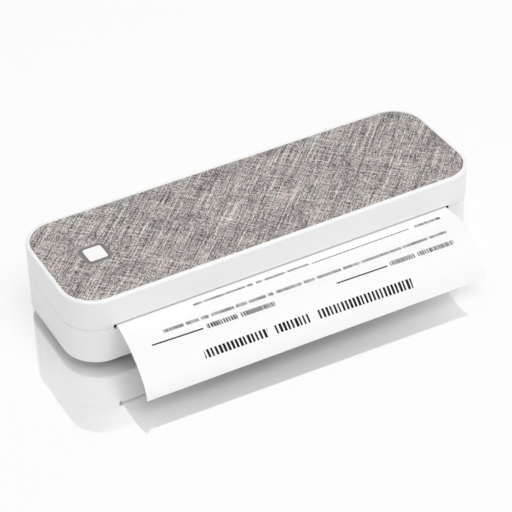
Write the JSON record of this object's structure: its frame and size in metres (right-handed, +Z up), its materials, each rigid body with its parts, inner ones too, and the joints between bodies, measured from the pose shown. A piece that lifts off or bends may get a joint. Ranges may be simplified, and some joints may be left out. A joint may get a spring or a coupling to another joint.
{
  "type": "portable thermal printer",
  "caption": "Flat portable printer for A4 thermal paper: rounded casing with a fabric top, one square button, a full-width front slot and a rear-hinged cover over the roll.",
  "frame": {"origin": "centre of the casing's underside; the feet stand 5.6 mm below it", "axes": "+X along the casing, away from the button; -Y towards the side where the paper comes out; +Z up"},
  "size_m": [0.256, 0.1283, 0.0472],
  "materials": {
    "white_plastic": "satin moulded ABS",
    "fabric": "linen-look woven cloth, grey",
    "grey_plastic": "smooth moulded ring",
    "ivory_plastic": "natural acetal",
    "liner_plastic": "black moulded ABS",
    "black_plastic": "moulded housing",
    "steel": "zinc plated sheet and turned steel",
    "spring_steel": "spring steel",
    "screw_steel": "blackened screws",
    "aluminium": "extruded",
    "brass": "cut pinion",
    "rubber": "matt rubber",
    "ceramic": "glazed ceramic strip",
    "board_green": "glass-fibre circuit board",
    "cell_wrap": "shrink wrap",
    "paper": "thermal paper",
    "cardboard": "spiral wound tube"
  },
  "bodies": {
    "root": {"base_shell": "white_plastic", "rubber_feet": "rubber", "chassis": "steel", "chassis_screws": "screw_steel", "platen_bushes": "ivory_plastic", "stepper_motor": "steel", "motor_screws": "screw_steel", "idler_pin": "steel", "battery_cells": "cell_wrap", "charge_board": "board_green", "charge_board_screws": "screw_steel", "usb_socket": "steel", "paper_sensor": "black_plastic", "latch_springs": "spring_steel", "latch_screws": "screw_steel", "hinge_pins": "steel", "paper_sheet": "paper"},
    "cover": {"top_cover": "white_plastic", "fabric_panel": "fabric", "button_bezel": "grey_plastic", "inner_cover": "liner_plastic", "inner_cover_screws": "screw_steel", "control_board": "board_green", "control_board_screws": "screw_steel", "tact_switch": "black_plastic", "head_springs": "spring_steel"},
    "head": {"print_head": "ceramic", "heat_sink": "aluminium"},
    "platen": {"platen_shaft": "steel", "platen_rubber": "rubber", "platen_gear": "ivory_plastic"},
    "idler": {"idler_gear": "ivory_plastic"},
    "rotor": {"motor_shaft": "steel", "motor_pinion": "brass"},
    "roll": {"paper_roll": "paper", "roll_core": "cardboard"},
    "button": {"power_button": "white_plastic", "switch_plunger": "black_plastic"}
  },
  "joints": [
    {"name": "cover_hinge", "type": "hinge", "parent": "root", "child": "cover", "pos_m": [0, 0.0375, 0.0222], "axis": [-1, 0, 0], "range_deg": [0, 80], "deforming": ["latch_springs"]},
    {"name": "head_float", "type": "slide", "parent": "cover", "child": "head", "axis": [0, 0, 1], "range_m": [0, 0.0006], "stiffness_N_per_m": 4000, "springref_m": -0.003, "deforming": ["head_springs"]},
    {"name": "button_press", "type": "slide", "parent": "cover", "child": "button", "axis": [0, 0, -1], "range_m": [0, 0.0004], "stiffness_N_per_m": 500, "springref_m": -0.002},
    {"name": "platen_spin", "type": "hinge", "parent": "root", "child": "platen", "pos_m": [0, -0.027, 0.0165], "axis": [1, 0, 0], "continuous": true},
    {"name": "idler_spin", "type": "hinge", "parent": "root", "child": "idler", "pos_m": [0, -0.01799, 0.01215], "axis": [1, 0, 0], "continuous": true},
    {"name": "motor_spin", "type": "hinge", "parent": "root", "child": "rotor", "pos_m": [0, -0.0065, 0.0125], "axis": [1, 0, 0], "continuous": true},
    {"name": "roll_spin", "type": "hinge", "parent": "root", "child": "roll", "pos_m": [0, 0.02, 0.0165], "axis": [1, 0, 0], "continuous": true}
  ],
  "couplings": [
    {"joint": "idler_spin", "follows": "platen_spin", "ratio": -1.8571},
    {"joint": "motor_spin", "follows": "platen_spin", "ratio": 5.2619},
    {"joint": "roll_spin", "follows": "platen_spin", "ratio": 0.42857}
  ]
}
